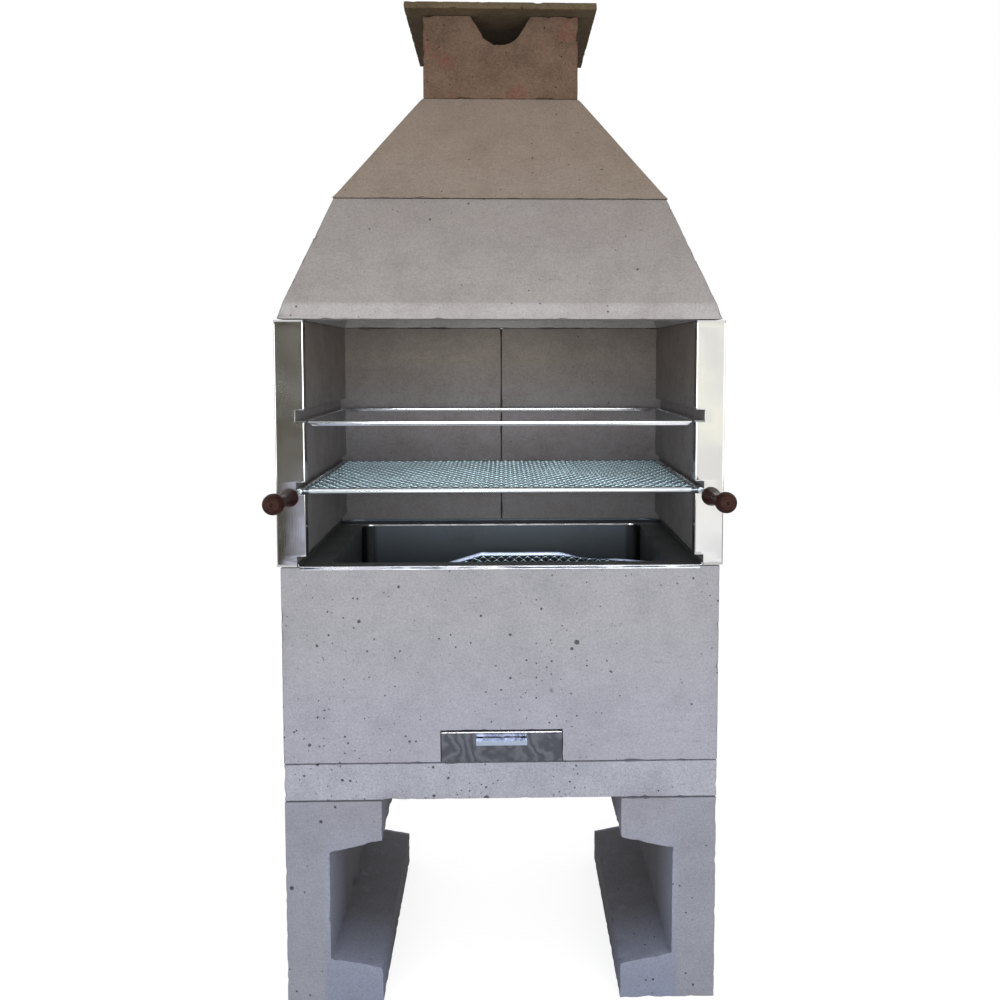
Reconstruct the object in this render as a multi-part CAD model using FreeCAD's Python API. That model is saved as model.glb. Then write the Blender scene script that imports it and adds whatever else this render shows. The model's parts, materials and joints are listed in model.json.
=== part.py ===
import FreeCAD, Part
import math
import os

from FreeCAD import Vector

# A precast-concrete charcoal barbecue: two C-shaped legs, a slab, a fire box, an open
# cooking chamber with grooves for its shelves, a two-piece hood and a capped chimney.
# Millimetres, +Z up. X runs left to right seen from the open side, which faces -Y.
# Every shape is built with Y = 0 on the front face of the concrete, and is moved as it
# is saved, so that the origin is the bottom centre of the whole object's box.

# ---- driving dimensions: concrete castings ----
BODY_WIDTH = 720.0
BODY_DEPTH = 484.0

LEG_HEIGHT = 349.5
LEG_DEPTH = 455.0
LEG_REACH = 161.0            # from the leg's outer face to the tips of its flanges
LEG_WEB = 74.0
LEG_FOOT_TIP = 61.5          # foot flange, thinner at its tip than at the web
LEG_FOOT_ROOT = 78.5
LEG_HEAD_TIP = 69.0
LEG_HEAD_ROOT = 88.5

SLAB_THICKNESS = 63.5

FIREBOX_HEIGHT = 329.5
FIREBOX_SIDE_WALL = 45.0
FIREBOX_FRONT_WALL = 25.0
FIREBOX_BACK_WALL = 45.0
DRAWER_SLOT_WIDTH = 202.0
DRAWER_SLOT_HEIGHT = 54.5

CHAMBER_HEIGHT = 402.0
CHAMBER_SIDE_WALL = 38.0
CHAMBER_BACK_WALL = 45.0
BACK_JOINT_GAP = 1.0         # upright joint between the two chamber castings
BACK_JOINT_LAP = 12.0
GROOVE_DEPTH = 10.0
PAN_GROOVE_HEIGHT = 18.0
SHELF_GROOVE_HEIGHT = 20.0
GRILL_GROOVE_RISE = 119.5    # groove floors above the chamber's bottom edge
SKEWER_GROOVE_RISE = 236.5

HOOD_WALL = 38.0
HOOD_BAND_HEIGHT = 27.0      # upright band at the bottom of the hood's front
LOWER_HOOD_HEIGHT = 208.0
UPPER_HOOD_HEIGHT = 194.5
LOWER_HOOD_SIDE_SLOPE = 0.367
UPPER_HOOD_OVERHANG = 2.0    # the upper casting is a little wider than the lower one
UPPER_HOOD_SHOULDER = 2.0    # and than the chimney that stands on it

CHIMNEY_WIDTH = 278.0
CHIMNEY_WALL = 35.0
CHIMNEY_HEIGHT = 147.0
NOTCH_HALF_WIDTH = 54.0      # smoke notch at the top of the chimney's front and back
NOTCH_DEPTH = 51.0
NOTCH_FLANK_DEG = 57.5
NOTCH_RADIUS = 40.0
CAP_OVERHANG = 31.5
CAP_THICKNESS = 14.0

# ---- driving dimensions: steel and wood ----
SHEET = 1.2                  # thickness of every folded stainless sheet
STRIP_OVERHANG = 4.5         # edge strips stand out past the chamber's sides
STRIP_LAP = 4.6              # and past the opening's edge
STRIP_RETURN = 18.0
STRIP_END_GAP = 0.6
NOTCH_CLEARANCE = 0.4

RAIL_LIP = 7.0
RAIL_FLANGE = 12.0
RAIL_SIDE_LAP = 6.0          # part of a side rail that shows beside its groove
RAIL_END_GAP = 6.5
MITRE = 7.0
SHELF_REAR_GAP = 14.0

GRILL_BAR_RADIUS = 4.75
GRILL_CROSS_RADIUS = 3.0
GRILL_MESH_THICKNESS = 2.0
GRILL_MESH_EDGE_GAP = 1.1    # beside the side bars
GRILL_FRONT_BAR_GAP = 3.0    # between its rounded ends and the edge strips
GRILL_FRONT_BAR_Y = 4.0

ROD_RADIUS = 3.5
ROD_TIP_RADIUS = 1.75
ROD_TIP_LENGTH = 12.0
ROD_TIP_RECESS = 2.0         # the tip stops short of the wood's end face
ROD_STRAIGHT = 60.0          # straight ahead of the concrete, then tilted up
HANDLE_TILT_DEG = 3.0
HANDLE_GAP = 8.0             # between the bend and the wood
# turned profile of the wood: (distance from its end nearer the grill, radius)
HANDLE_PROFILE = [(0.0, 9.7), (4.0, 13.1), (12.0, 14.7), (28.0, 12.8), (59.0, 10.3),
                  (90.0, 12.7), (111.0, 15.7), (121.0, 13.9), (126.0, 10.2)]

PAN_WELL_DEPTH = 100.0
PAN_SIDE_FLANGE = 49.0
PAN_REAR_FLANGE = 46.0
PAN_FRONT_OFFSET = 28.0      # well's front wall behind the concrete's front face
PAN_REAR_RADIUS = 45.0
PAN_WELL_RADIUS = 20.0
PAN_EDGE_UPTURN = 4.0
PAN_LIP_HEIGHT = 6.0
PAN_LIP_END_GAP = 4.0
ASH_HOLE_WIDTH = 140.0
ASH_HOLE_LENGTH = 150.0
ASH_HOLE_Y = 150.0
CHUTE_DRAWER_GAP = 6.0

GRATE_FRONT_Y = 62.0
GRATE_REAR_Y = 215.0
GRATE_SHEET = 1.5
GRATE_CROWN_BELOW_RIM = 30.0
GRATE_CROWN_LEFT_X = -38.0
GRATE_CROWN_RIGHT_X = 107.0
GRATE_END_GAP = 8.0          # between the grate's feet and the well's sides
GRATE_RIGHT_DROP = 15.0      # crown to the top of the right-hand leg
GRATE_FRONT_SHARE = 0.6      # height of the front edge as a share of the rear edge
GRATE_STRIP_HEIGHT = 8.0
GRATE_STRIP_THICKNESS = 2.0

DRAWER_SIDE_GAP = 1.0
DRAWER_TOP_GAP = 3.0
DRAWER_FLOOR_GAP = 1.0
DRAWER_RECESS = 1.0
DRAWER_REAR_GAP = 39.0
TRAY_INSET = 2.0
TRAY_TOP_GAP = 4.8           # between the tray's sides and the front's fold
FRONT_FOLD = 10.0
PULL_WIDTH = 84.0
PULL_DEPTH = 12.0
PULL_HEIGHT = 7.5
PULL_DROP = 17.0             # underside of the pull below the drawer's top edge
PULL_SPACER_WIDTH = 62.0
PULL_SPACER_DEPTH = 4.0
PULL_SCREW_RADIUS = 2.0
PULL_SCREW_HEAD_RADIUS = 3.6
PULL_SCREW_HEAD = 1.6
PULL_SCREW_PITCH = 44.0

FIT = 0.1                    # radial clearance of rods and screws in their holes
WELD_GAP = 0.02              # between two bars that meet along a line
SLIDE = 1.0                  # clearance of a shelf beside its groove
SEAT = 0.5                   # clearance of a shelf above its groove's floor

# ---- derived levels, widths and depths ----
SLAB_BOTTOM = LEG_HEIGHT
SLAB_TOP = SLAB_BOTTOM + SLAB_THICKNESS
FIREBOX_TOP = SLAB_TOP + FIREBOX_HEIGHT
CHAMBER_TOP = FIREBOX_TOP + CHAMBER_HEIGHT
HOOD_BAND_TOP = CHAMBER_TOP + HOOD_BAND_HEIGHT
HOOD_JOINT = CHAMBER_TOP + LOWER_HOOD_HEIGHT
HOOD_TOP = HOOD_JOINT + UPPER_HOOD_HEIGHT
CHIMNEY_TOP = HOOD_TOP + CHIMNEY_HEIGHT

HALF_WIDTH = BODY_WIDTH / 2
OPENING_HALF = HALF_WIDTH - CHAMBER_SIDE_WALL
GROOVE_HALF = OPENING_HALF + GROOVE_DEPTH
CHAMBER_BACK = BODY_DEPTH - CHAMBER_BACK_WALL
GRILL_GROOVE = FIREBOX_TOP + GRILL_GROOVE_RISE
SKEWER_GROOVE = FIREBOX_TOP + SKEWER_GROOVE_RISE
SHELF_REAR = CHAMBER_BACK - SHELF_REAR_GAP

CHIMNEY_HALF = CHIMNEY_WIDTH / 2
CHIMNEY_FRONT = BODY_DEPTH - CHIMNEY_WIDTH
HOOD_FRONT_SLOPE = CHIMNEY_FRONT / (HOOD_TOP - HOOD_BAND_TOP)
HOOD_BAND_HALF = HALF_WIDTH - LOWER_HOOD_SIDE_SLOPE * HOOD_BAND_HEIGHT
HOOD_JOINT_HALF = HALF_WIDTH - LOWER_HOOD_SIDE_SLOPE * LOWER_HOOD_HEIGHT
HOOD_JOINT_FRONT = HOOD_FRONT_SLOPE * (HOOD_JOINT - HOOD_BAND_TOP)

STRIP_INNER = OPENING_HALF - STRIP_LAP
STRIP_OUTER = HALF_WIDTH + STRIP_OVERHANG

GRILL_BAR_X = GROOVE_HALF - SLIDE - GRILL_BAR_RADIUS
GRILL_BAR_Z = GRILL_GROOVE + SEAT + GRILL_BAR_RADIUS
GRILL_CROSS_Z = GRILL_BAR_Z + GRILL_BAR_RADIUS - 2 * GRILL_CROSS_RADIUS

PAN_RIM = FIREBOX_TOP + SHEET
PAN_FLOOR = PAN_RIM - PAN_WELL_DEPTH
PAN_FLANGE_HALF = GROOVE_HALF - SLIDE
PAN_FLANGE_REAR = CHAMBER_BACK - 2 * SLIDE
PAN_WELL_HALF = PAN_FLANGE_HALF - PAN_SIDE_FLANGE
PAN_WELL_REAR = PAN_FLANGE_REAR - PAN_REAR_FLANGE

DRAWER_FLOOR = SLAB_TOP + DRAWER_FLOOR_GAP
DRAWER_HALF = DRAWER_SLOT_WIDTH / 2 - DRAWER_SIDE_GAP
DRAWER_FRONT_TOP = SLAB_TOP + DRAWER_SLOT_HEIGHT - DRAWER_TOP_GAP
TRAY_HALF = DRAWER_HALF - TRAY_INSET
TRAY_FRONT = DRAWER_RECESS + SHEET
TRAY_REAR = BODY_DEPTH - FIREBOX_BACK_WALL - DRAWER_REAR_GAP
TRAY_TOP = DRAWER_FRONT_TOP - SHEET - TRAY_TOP_GAP
PULL_BOTTOM = DRAWER_FRONT_TOP - PULL_DROP

HANDLE_TILT = math.radians(HANDLE_TILT_DEG)
HANDLE_LENGTH = HANDLE_PROFILE[-1][0]
FRONT_REACH = ROD_STRAIGHT + (HANDLE_GAP + HANDLE_LENGTH) * math.cos(HANDLE_TILT)
REAR_REACH = BODY_DEPTH + CAP_OVERHANG
FRONT_Y = (FRONT_REACH - REAR_REACH) / 2


# ---- shape helpers ----
def box(x, y, z):
    """A box from three (low, high) pairs."""
    corner = Vector(x[0], y[0], z[0])
    return Part.makeBox(x[1] - x[0], y[1] - y[0], z[1] - z[0], corner)


def mirrored(shape):
    """The same piece on the other side of the X = 0 plane."""
    return shape.mirror(Vector(0, 0, 0), Vector(1, 0, 0))


def prism(points, y_low, y_high):
    """A closed outline of (x, z) points, carried from y_low to y_high."""
    corners = [Vector(x, y_low, z) for x, z in points]
    face = Part.Face(Part.makePolygon(corners + corners[:1]))
    return face.extrude(Vector(0, y_high - y_low, 0))


def frustum(low, high):
    """A solid between two level rectangles, each (half_width, y_front, y_back, z)."""
    rings = []
    for half, front, back, z in (low, high):
        rings.append([Vector(-half, front, z), Vector(half, front, z),
                      Vector(half, back, z), Vector(-half, back, z)])
    faces = [Part.Face(Part.makePolygon(ring + ring[:1])) for ring in rings]
    for i in range(4):
        j = (i + 1) % 4
        side = [rings[0][i], rings[0][j], rings[1][j], rings[1][i]]
        faces.append(Part.Face(Part.makePolygon(side + side[:1])))
    return Part.makeSolid(Part.makeShell(faces))


def rounded_plate(half, y_front, y_rear, z_low, z_high, front_radius, rear_radius):
    """A level plate whose front and rear corners are rounded."""
    plate = box((-half, half), (y_front, y_rear), (z_low, z_high))
    for radius, y_edge in ((front_radius, y_front), (rear_radius, y_rear)):
        if radius > 0:
            edges = [e for e in plate.Edges if abs(e.BoundBox.YMin - y_edge) < 1e-6
                     and e.BoundBox.YLength < 1e-6 and e.BoundBox.XLength < 1e-6]
            plate = plate.makeFillet(radius, edges)
    return plate


def save(name, shape):
    placed = shape.copy()
    placed.translate(Vector(0, FRONT_Y, 0))
    placed.exportStep(os.path.join("parts", name + ".step"))


# ---- concrete castings ----
def leg():
    """Left leg: an upright web with a foot and a head that taper towards the middle."""
    outer = -HALF_WIDTH
    tip = outer + LEG_REACH
    web = outer + LEG_WEB
    outline = [(outer, 0), (tip, 0), (tip, LEG_FOOT_TIP), (web, LEG_FOOT_ROOT),
               (web, LEG_HEIGHT - LEG_HEAD_ROOT), (tip, LEG_HEIGHT - LEG_HEAD_TIP),
               (tip, LEG_HEIGHT), (outer, LEG_HEIGHT)]
    return prism(outline, 0, LEG_DEPTH)


def base_slab():
    return box((-HALF_WIDTH, HALF_WIDTH), (0, BODY_DEPTH), (SLAB_BOTTOM, SLAB_TOP))


def firebox():
    """Four walls round the brazier pan, with a slot for the ash drawer in the front."""
    outer = box((-HALF_WIDTH, HALF_WIDTH), (0, BODY_DEPTH), (SLAB_TOP, FIREBOX_TOP))
    inner_half = HALF_WIDTH - FIREBOX_SIDE_WALL
    inner = box((-inner_half, inner_half),
                (FIREBOX_FRONT_WALL, BODY_DEPTH - FIREBOX_BACK_WALL),
                (SLAB_TOP, FIREBOX_TOP))
    slot_half = DRAWER_SLOT_WIDTH / 2
    slot = box((-slot_half, slot_half), (0, FIREBOX_FRONT_WALL),
               (SLAB_TOP, SLAB_TOP + DRAWER_SLOT_HEIGHT))
    return outer.cut(inner).cut(slot)


def groove_levels():
    """(floor, ceiling) of the three grooves in each side wall, lowest first."""
    return [(FIREBOX_TOP, FIREBOX_TOP + PAN_GROOVE_HEIGHT),
            (GRILL_GROOVE, GRILL_GROOVE + SHELF_GROOVE_HEIGHT),
            (SKEWER_GROOVE, SKEWER_GROOVE + SHELF_GROOVE_HEIGHT)]


def chamber_half(side):
    """An L-shaped casting: one side wall and half of the back wall, which lap at X = 0."""
    levels = (FIREBOX_TOP, CHAMBER_TOP)
    gap = BACK_JOINT_GAP / 2
    step = (CHAMBER_BACK + BODY_DEPTH) / 2 + side * gap
    wall = box((OPENING_HALF, HALF_WIDTH), (0, BODY_DEPTH), levels)
    inner_leaf = box((gap, OPENING_HALF), (CHAMBER_BACK, step), levels)
    outer_leaf = box((gap - side * BACK_JOINT_LAP, OPENING_HALF), (step, BODY_DEPTH), levels)
    casting = wall.fuse([inner_leaf, outer_leaf])
    for floor, ceiling in groove_levels():
        groove = box((OPENING_HALF, GROOVE_HALF), (0, CHAMBER_BACK), (floor, ceiling))
        casting = casting.cut(groove)
    casting = casting.removeSplitter()
    return casting if side > 0 else mirrored(casting)


def hollow_frustum(low, high):
    """A frustum less the same frustum set in by the hood's wall, open above and below."""
    solid = frustum(low, high)
    inset = [(half - HOOD_WALL, front + HOOD_WALL, back - CHAMBER_BACK_WALL, z)
             for half, front, back, z in (low, high)]
    return solid.cut(frustum(*inset))


def lower_hood():
    base = (HALF_WIDTH, 0, BODY_DEPTH, CHAMBER_TOP)
    band = (HOOD_BAND_HALF, 0, BODY_DEPTH, HOOD_BAND_TOP)
    joint = (HOOD_JOINT_HALF, HOOD_JOINT_FRONT, BODY_DEPTH, HOOD_JOINT)
    return hollow_frustum(base, band).fuse(hollow_frustum(band, joint)).removeSplitter()


def upper_hood():
    low = (HOOD_JOINT_HALF + UPPER_HOOD_OVERHANG, HOOD_JOINT_FRONT - UPPER_HOOD_OVERHANG,
           BODY_DEPTH, HOOD_JOINT)
    high = (CHIMNEY_HALF + UPPER_HOOD_SHOULDER, CHIMNEY_FRONT - UPPER_HOOD_SHOULDER,
            BODY_DEPTH, HOOD_TOP)
    return hollow_frustum(low, high)


def chimney_duct():
    """A square tube with a rounded V notch at the top of its front and back walls."""
    inner = CHIMNEY_HALF - CHIMNEY_WALL
    levels = (HOOD_TOP, CHIMNEY_TOP)
    tube = box((-CHIMNEY_HALF, CHIMNEY_HALF), (CHIMNEY_FRONT, BODY_DEPTH), levels)
    flue = box((-inner, inner),
               (CHIMNEY_FRONT + CHIMNEY_WALL, BODY_DEPTH - CHIMNEY_WALL), levels)
    return tube.cut(flue).cut(smoke_notch())


def smoke_notch():
    flank = math.radians(NOTCH_FLANK_DEG)
    bottom = CHIMNEY_TOP - NOTCH_DEPTH
    tangent_x = NOTCH_RADIUS * math.sin(flank)
    tangent_z = bottom + NOTCH_RADIUS * (1 - math.cos(flank))
    front = CHIMNEY_FRONT

    def at(x, z):
        return Vector(x, front, z)

    arc = Part.Arc(at(-tangent_x, tangent_z), at(0, bottom), at(tangent_x, tangent_z))
    top_left = at(-NOTCH_HALF_WIDTH, CHIMNEY_TOP)
    top_right = at(NOTCH_HALF_WIDTH, CHIMNEY_TOP)
    edges = [Part.makeLine(top_left, at(-tangent_x, tangent_z)), arc.toShape(),
             Part.makeLine(at(tangent_x, tangent_z), top_right),
             Part.makeLine(top_right, top_left)]
    return Part.Face(Part.Wire(edges)).extrude(Vector(0, CHIMNEY_WIDTH, 0))


def chimney_cap():
    half = CHIMNEY_HALF + CAP_OVERHANG
    return box((-half, half), (CHIMNEY_FRONT - CAP_OVERHANG, BODY_DEPTH + CAP_OVERHANG),
               (CHIMNEY_TOP, CHIMNEY_TOP + CAP_THICKNESS))


# ---- stainless edge strips ----
def edge_strip():
    """Right-hand trim over the chamber wall's front edge, notched where shelves pass."""
    levels = (FIREBOX_TOP + STRIP_END_GAP, CHAMBER_TOP - STRIP_END_GAP)
    face = box((STRIP_INNER, STRIP_OUTER), (-SHEET, 0), levels)
    inner = box((STRIP_INNER, STRIP_INNER + SHEET), (-SHEET, STRIP_RETURN), levels)
    outer = box((STRIP_OUTER - SHEET, STRIP_OUTER), (-SHEET, STRIP_RETURN), levels)
    strip = face.fuse([inner, outer])
    for floor, ceiling in groove_levels():
        notch = box((STRIP_INNER, GROOVE_HALF + NOTCH_CLEARANCE), (-SHEET, STRIP_RETURN),
                    (floor - NOTCH_CLEARANCE, ceiling))
        strip = strip.cut(notch)
    return strip.removeSplitter()


# ---- skewer frame: four folded rails ----
def skewer_cross_rail(y_lip, into):
    """A rail across the chamber: a lip that hangs down and a flange that runs inwards."""
    top = SKEWER_GROOVE + SEAT + SHEET
    half = STRIP_INNER - RAIL_END_GAP
    lip = prism([(-half, top), (half, top), (half - MITRE, top - RAIL_LIP),
                 (-half + MITRE, top - RAIL_LIP)], min(y_lip, y_lip + into * SHEET),
                max(y_lip, y_lip + into * SHEET))
    flange_half = OPENING_HALF - RAIL_SIDE_LAP
    flange = box((-flange_half, flange_half),
                 (min(y_lip, y_lip + into * RAIL_FLANGE),
                  max(y_lip, y_lip + into * RAIL_FLANGE)), (top - SHEET, top))
    return lip.fuse(flange).removeSplitter()


def skewer_side_rail():
    """The flat rail that slides in the right-hand groove."""
    floor = SKEWER_GROOVE + SEAT
    return box((OPENING_HALF - RAIL_SIDE_LAP, GROOVE_HALF - SLIDE), (0, SHELF_REAR),
               (floor, floor + SHEET))


# ---- mesh grill ----
def bar_along_y(x, z, y_low, y_high, radius):
    return Part.makeCylinder(radius, y_high - y_low, Vector(x, y_low, z), Vector(0, 1, 0))


def grill_side_bar():
    return bar_along_y(GRILL_BAR_X, GRILL_BAR_Z, -GRILL_BAR_RADIUS, SHELF_REAR,
                       GRILL_BAR_RADIUS)


def grill_cross_bar(y):
    """A thin bar welded between the two side bars, under the mesh."""
    bar = Part.makeCylinder(GRILL_CROSS_RADIUS, 2 * GRILL_BAR_X,
                            Vector(-GRILL_BAR_X, y, GRILL_CROSS_Z), Vector(1, 0, 0))
    return bar.cut(grill_side_bar()).cut(mirrored(grill_side_bar()))


def grill_front_bar():
    """The bright front bar, with rounded ends that clear the edge strips."""
    reach = STRIP_INNER - GRILL_FRONT_BAR_GAP - GRILL_BAR_RADIUS
    centre = Vector(-reach, GRILL_FRONT_BAR_Y, GRILL_BAR_Z)
    bar = Part.makeCylinder(GRILL_BAR_RADIUS, 2 * reach, centre, Vector(1, 0, 0))
    ends = [Part.makeSphere(GRILL_BAR_RADIUS, Vector(x, GRILL_FRONT_BAR_Y, GRILL_BAR_Z))
            for x in (-reach, reach)]
    return bar.fuse(ends).removeSplitter()


def cross_bar_offset():
    """Level distance at which a cross bar just touches the front bar."""
    rise = GRILL_BAR_Z - GRILL_CROSS_Z
    return math.sqrt((GRILL_BAR_RADIUS + GRILL_CROSS_RADIUS) ** 2 - rise ** 2) + WELD_GAP


def grill_mesh():
    """The expanded-metal sheet, as a plain plate of its outline and thickness."""
    half = GRILL_BAR_X - GRILL_BAR_RADIUS - GRILL_MESH_EDGE_GAP
    bottom = GRILL_CROSS_Z + GRILL_CROSS_RADIUS
    return box((-half, half), (GRILL_FRONT_BAR_Y + GRILL_BAR_RADIUS, SHELF_REAR),
               (bottom, bottom + GRILL_MESH_THICKNESS))


def handle_frame(shape):
    """Moves a shape built along +Z from the origin onto the right-hand rod's tilted part."""
    placed = shape.copy()
    placed.rotate(Vector(0, 0, 0), Vector(1, 0, 0), 90 - HANDLE_TILT_DEG)
    placed.translate(Vector(GRILL_BAR_X, -ROD_STRAIGHT, GRILL_BAR_Z))
    return placed


def handle_rod():
    """Steel rod welded to a side bar, bent up a little and run through the wood."""
    straight = bar_along_y(GRILL_BAR_X, GRILL_BAR_Z, -ROD_STRAIGHT, -GRILL_BAR_RADIUS,
                           ROD_RADIUS)
    bend = Part.makeSphere(ROD_RADIUS, Vector(GRILL_BAR_X, -ROD_STRAIGHT, GRILL_BAR_Z))
    full = HANDLE_GAP + HANDLE_LENGTH
    thick = Part.makeCylinder(ROD_RADIUS, full - ROD_TIP_LENGTH)
    tip = Part.makeCylinder(ROD_TIP_RADIUS, full - ROD_TIP_RECESS)
    return straight.fuse([bend, handle_frame(thick.fuse(tip))])


def wooden_handle():
    """A turned handle with a knob at each end and a narrow waist, bored for its rod."""
    outline = [Vector(radius, 0, t) for t, radius in HANDLE_PROFILE]
    curve = Part.BSplineCurve()
    curve.interpolate(outline)
    axis_low = Vector(0, 0, 0)
    axis_high = Vector(0, 0, HANDLE_LENGTH)
    edges = [Part.makeLine(axis_low, outline[0]), curve.toShape(),
             Part.makeLine(outline[-1], axis_high), Part.makeLine(axis_high, axis_low)]
    body = Part.Face(Part.Wire(edges)).revolve(axis_low, Vector(0, 0, 1), 360)
    bore = Part.makeCylinder(ROD_RADIUS + FIT, HANDLE_LENGTH - ROD_TIP_LENGTH + FIT)
    tip_bore = Part.makeCylinder(ROD_TIP_RADIUS + FIT, HANDLE_LENGTH)
    turned = body.cut(bore).cut(tip_bore)
    turned.translate(Vector(0, 0, HANDLE_GAP))
    return handle_frame(turned)


# ---- brazier pan, ash chute and charcoal grate ----
def brazier_pan():
    """A folded pan hung by its flange, with a front lip and an ash hole in its floor."""
    flange = rounded_plate(PAN_FLANGE_HALF, -SLIDE - SHEET, PAN_FLANGE_REAR, FIREBOX_TOP,
                           PAN_RIM, 0, PAN_REAR_RADIUS)
    edge = rounded_plate(PAN_FLANGE_HALF, 0, PAN_FLANGE_REAR, FIREBOX_TOP,
                         PAN_RIM + PAN_EDGE_UPTURN, 0, PAN_REAR_RADIUS)
    hollow = rounded_plate(PAN_FLANGE_HALF - SHEET, -SHEET, PAN_FLANGE_REAR - SHEET,
                           FIREBOX_TOP, PAN_RIM + PAN_EDGE_UPTURN, 0,
                           PAN_REAR_RADIUS - SHEET)
    lip_half = PAN_FLANGE_HALF - PAN_LIP_END_GAP
    lip = box((-lip_half, lip_half), (-SLIDE - SHEET, -SLIDE),
              (PAN_RIM - PAN_LIP_HEIGHT, PAN_RIM))
    for side in (-1, 1):
        outer_end = side * PAN_FLANGE_HALF
        inner_end = side * lip_half
        corner = box((min(outer_end, inner_end), max(outer_end, inner_end)),
                     (-SLIDE - SHEET, 0), (FIREBOX_TOP, PAN_RIM))
        flange = flange.cut(corner)
    well = rounded_plate(PAN_WELL_HALF + SHEET, PAN_FRONT_OFFSET - SHEET,
                         PAN_WELL_REAR + SHEET, PAN_FLOOR - SHEET, FIREBOX_TOP,
                         PAN_WELL_RADIUS + SHEET, PAN_WELL_RADIUS + SHEET)
    space = rounded_plate(PAN_WELL_HALF, PAN_FRONT_OFFSET, PAN_WELL_REAR, PAN_FLOOR,
                          PAN_RIM, PAN_WELL_RADIUS, PAN_WELL_RADIUS)
    pan = flange.fuse([edge.cut(hollow), lip, well]).cut(space)
    return pan.cut(ash_hole(PAN_FLOOR - SHEET, PAN_FLOOR, 0)).removeSplitter()


def ash_hole(z_low, z_high, grow):
    half = ASH_HOLE_WIDTH / 2 + grow
    return box((-half, half), (ASH_HOLE_Y - grow, ASH_HOLE_Y + ASH_HOLE_LENGTH + grow),
               (z_low, z_high))


def ash_chute():
    """A square sleeve under the pan's hole, down to just above the ash drawer."""
    bottom = TRAY_TOP + CHUTE_DRAWER_GAP
    top = PAN_FLOOR - SHEET
    return ash_hole(bottom, top, SHEET).cut(ash_hole(bottom, top, 0))


def grate_profile(share):
    """(x, z) points along the grate's underside, its height above the floor x share."""
    crown = PAN_WELL_DEPTH - GRATE_CROWN_BELOW_RIM
    left_foot = -PAN_WELL_HALF + GRATE_END_GAP
    right_foot = PAN_WELL_HALF - GRATE_END_GAP - GRATE_SHEET
    heights = [(left_foot, SEAT), (GRATE_CROWN_LEFT_X, crown),
               (GRATE_CROWN_RIGHT_X, crown), (right_foot, crown - GRATE_RIGHT_DROP)]
    return [(x, PAN_FLOOR + max(SEAT, share * height)) for x, height in heights]


def profile_points(y, share, rise):
    return [Vector(x, y, z + rise) for x, z in grate_profile(share)]


def grate_mesh():
    """The hand-bent expanded-metal sheet: a low vault, higher at its rear edge."""
    rear = profile_points(GRATE_REAR_Y, 1.0, 0)
    front = profile_points(GRATE_FRONT_Y, GRATE_FRONT_SHARE, 0)
    panels = []
    for i in range(len(rear) - 1):
        surface = Part.makeRuledSurface(Part.makeLine(front[i], front[i + 1]),
                                        Part.makeLine(rear[i], rear[i + 1]))
        panels.append(surface.extrude(Vector(0, 0, GRATE_SHEET)))
    return panels[0].fuse(panels[1:])


def grate_leg():
    """The sheet's right-hand end, bent down to stand on the pan's floor."""
    x = PAN_WELL_HALF - GRATE_END_GAP - GRATE_SHEET
    rear_z = grate_profile(1.0)[-1][1] + GRATE_SHEET
    front_z = grate_profile(GRATE_FRONT_SHARE)[-1][1] + GRATE_SHEET
    floor = PAN_FLOOR + SEAT
    corners = [Vector(x, GRATE_FRONT_Y, floor), Vector(x, GRATE_REAR_Y, floor),
               Vector(x, GRATE_REAR_Y, rear_z), Vector(x, GRATE_FRONT_Y, front_z)]
    face = Part.Face(Part.makePolygon(corners + corners[:1]))
    return face.extrude(Vector(GRATE_SHEET, 0, 0))


def grate_strip(y, share):
    """A flat strip stood on edge along the sheet's front or rear edge."""
    low = profile_points(y, share, 0)
    high = profile_points(y, share, GRATE_STRIP_HEIGHT)
    outline = [(p.x, p.z) for p in low] + [(p.x, p.z) for p in reversed(high)]
    return prism(outline, y, y + GRATE_STRIP_THICKNESS)


# ---- ash drawer ----
def drawer_tray():
    """A folded tray: floor, two sides and a back. The front plate closes it."""
    outer = box((-TRAY_HALF, TRAY_HALF), (TRAY_FRONT, TRAY_REAR), (DRAWER_FLOOR, TRAY_TOP))
    inner = box((-TRAY_HALF + SHEET, TRAY_HALF - SHEET), (TRAY_FRONT, TRAY_REAR - SHEET),
                (DRAWER_FLOOR + SHEET, TRAY_TOP))
    return outer.cut(inner)


def drawer_front():
    """The polished plate in the slot, its top edge folded back."""
    plate = box((-DRAWER_HALF, DRAWER_HALF), (DRAWER_RECESS, TRAY_FRONT),
                (DRAWER_FLOOR, DRAWER_FRONT_TOP))
    fold = box((-DRAWER_HALF, DRAWER_HALF), (DRAWER_RECESS, DRAWER_RECESS + FRONT_FOLD),
               (DRAWER_FRONT_TOP - SHEET, DRAWER_FRONT_TOP))
    return plate.fuse(fold).cut(pull_screw_holes()).removeSplitter()


def pull_screw_holes():
    """Clearance holes for both pull screws, through the plate, spacer and pull."""
    z = PULL_BOTTOM + PULL_HEIGHT / 2
    y_low = DRAWER_RECESS - PULL_SPACER_DEPTH - 2 * SHEET
    holes = [bar_along_y(x, z, y_low, TRAY_FRONT, PULL_SCREW_RADIUS + FIT)
             for x in (-PULL_SCREW_PITCH / 2, PULL_SCREW_PITCH / 2)]
    return holes[0].fuse(holes[1])


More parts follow.
